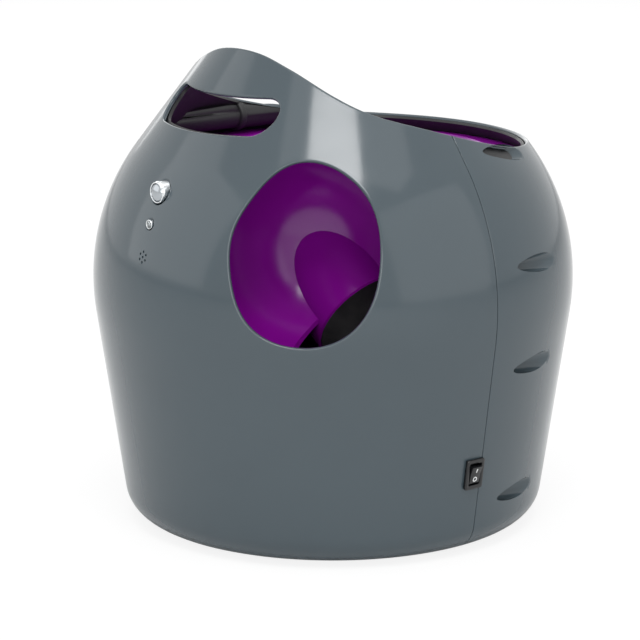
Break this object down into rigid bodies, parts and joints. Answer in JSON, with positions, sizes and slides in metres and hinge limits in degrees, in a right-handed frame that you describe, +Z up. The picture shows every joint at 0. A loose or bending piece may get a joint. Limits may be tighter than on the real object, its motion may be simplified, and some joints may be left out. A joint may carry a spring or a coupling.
{
  "type": "automatic_ball_launcher",
  "caption": "Automatic ball launcher for dogs: round grey two-part housing, open purple hopper, carrying handle, launch opening and a geared spring striker inside.",
  "frame": {"origin": "on the floor under the centre of the round housing", "axes": "+X to the right seen from the front, where the power switch is; +Y to the back, so that the front with the handle and the lamp faces -Y; +Z up"},
  "size_m": [0.33, 0.33, 0.3307],
  "materials": {
    "housing": "glossy grey moulded plastic",
    "purple_plastic": "glossy purple moulded plastic",
    "black_plastic": "black moulded plastic",
    "dark_plastic": "dark moulded plastic",
    "white_nylon": "natural nylon",
    "black_rubber": "soft black rubber",
    "steel": "zinc plated steel",
    "bronze": "sintered bronze and brass",
    "chrome_trim": "bright plated plastic",
    "clear_lens": "clear lens",
    "circuit_board": "green solder resist"
  },
  "bodies": {
    "housing": {"front_shell": "housing", "rear_shell": "housing", "shell_screws": "steel", "hopper_collar": "black_plastic", "hopper_bowl": "purple_plastic", "feed_chute": "purple_plastic", "launch_bay": "purple_plastic", "base_plate": "black_plastic", "base_screws": "steel", "rubber_feet": "black_rubber", "door_pin": "steel", "battery_contacts": "steel", "launcher_bracket": "black_plastic", "tilt_bushes": "bronze", "shaft_stand": "black_plastic", "control_panel": "black_plastic", "dial_control": "dark_plastic", "button_switch": "dark_plastic", "dc_jack": "dark_plastic", "power_switch": "black_plastic", "sensor_housing": "chrome_trim", "sensor_lens": "dark_plastic", "led_bezel": "chrome_trim", "led_lens": "clear_lens", "speaker": "dark_plastic", "sensor_board": "circuit_board", "main_board": "circuit_board", "board_parts": "dark_plastic"},
    "launcher": {"launcher_frame": "black_plastic", "tilt_shaft": "steel", "tilt_sector": "white_nylon", "idler_pin": "steel", "motor_mount": "black_plastic", "drive_motor": "steel", "launch_spring": "steel"},
    "striker": {"striker": "white_nylon", "striker_pad": "black_rubber"},
    "cocking_train": {"cocking_gear": "white_nylon", "cocking_shaft": "steel", "drive_gear": "white_nylon"},
    "idler": {"idler_gear": "white_nylon"},
    "pinion": {"motor_pinion": "bronze"},
    "angle_knob": {"angle_knob": "black_plastic", "knob_pinion": "white_nylon"},
    "battery_door": {"battery_door": "black_plastic", "door_screw": "steel"},
    "rocker": {"switch_rocker": "black_plastic"},
    "distance_dial": {"distance_dial": "black_plastic"},
    "play_button": {"play_button": "purple_plastic"}
  },
  "joints": [
    {"name": "launcher_tilt", "type": "hinge", "parent": "housing", "child": "launcher", "pos_m": [0.102, -0.03391, 0.07017], "axis": [1, 0, 0], "range_deg": [-6, 6]},
    {"name": "angle_knob_turn", "type": "hinge", "parent": "housing", "child": "angle_knob", "pos_m": [-0.1499, -0.03391, 0.11517], "axis": [1, 0, 0], "range_deg": [-25, 25]},
    {"name": "striker_slide", "type": "slide", "parent": "launcher", "child": "striker", "axis": [0, 0.7826, -0.6225], "range_m": [0, 0.036], "stiffness_N_per_m": 250, "springref_m": -0.01, "deforming": ["launch_spring"]},
    {"name": "cocking_turn", "type": "hinge", "parent": "launcher", "child": "cocking_train", "pos_m": [0.102, 0.01053, 0.0393], "axis": [-1, 0, 0], "range_deg": [0, 91.8]},
    {"name": "idler_turn", "type": "hinge", "parent": "launcher", "child": "idler", "pos_m": [0.072, 0.03585, 0.05804], "axis": [1, 0, 0], "range_deg": [0, 229.5]},
    {"name": "pinion_turn", "type": "hinge", "parent": "launcher", "child": "pinion", "pos_m": [0.072, 0.05306, 0.07617], "axis": [-1, 0, 0], "range_deg": [0, 917.5]},
    {"name": "battery_door_hinge", "type": "hinge", "parent": "housing", "child": "battery_door", "pos_m": [-0.005, 0.077, 0.0046], "axis": [1, 0, 0], "range_deg": [0, 100]},
    {"name": "power_rocker", "type": "hinge", "parent": "housing", "child": "rocker", "pos_m": [0.14989, -0.0067, 0.05963], "axis": [0, -1, 0], "range_deg": [0, 18]},
    {"name": "distance_dial_turn", "type": "hinge", "parent": "housing", "child": "distance_dial", "pos_m": [0.028, 0.143, 0.085], "axis": [0, 1, 0], "range_deg": [-135, 135]},
    {"name": "play_button_press", "type": "slide", "parent": "housing", "child": "play_button", "axis": [0, -1, 0], "range_m": [0, 0.002], "stiffness_N_per_m": 400, "springref_m": -0.001}
  ],
  "couplings": [
    {"joint": "angle_knob_turn", "follows": "launcher_tilt", "ratio": -4},
    {"joint": "cocking_turn", "follows": "striker_slide", "rad_per_m": 44.444},
    {"joint": "idler_turn", "follows": "striker_slide", "rad_per_m": 111.11},
    {"joint": "pinion_turn", "follows": "striker_slide", "rad_per_m": 444.44}
  ]
}
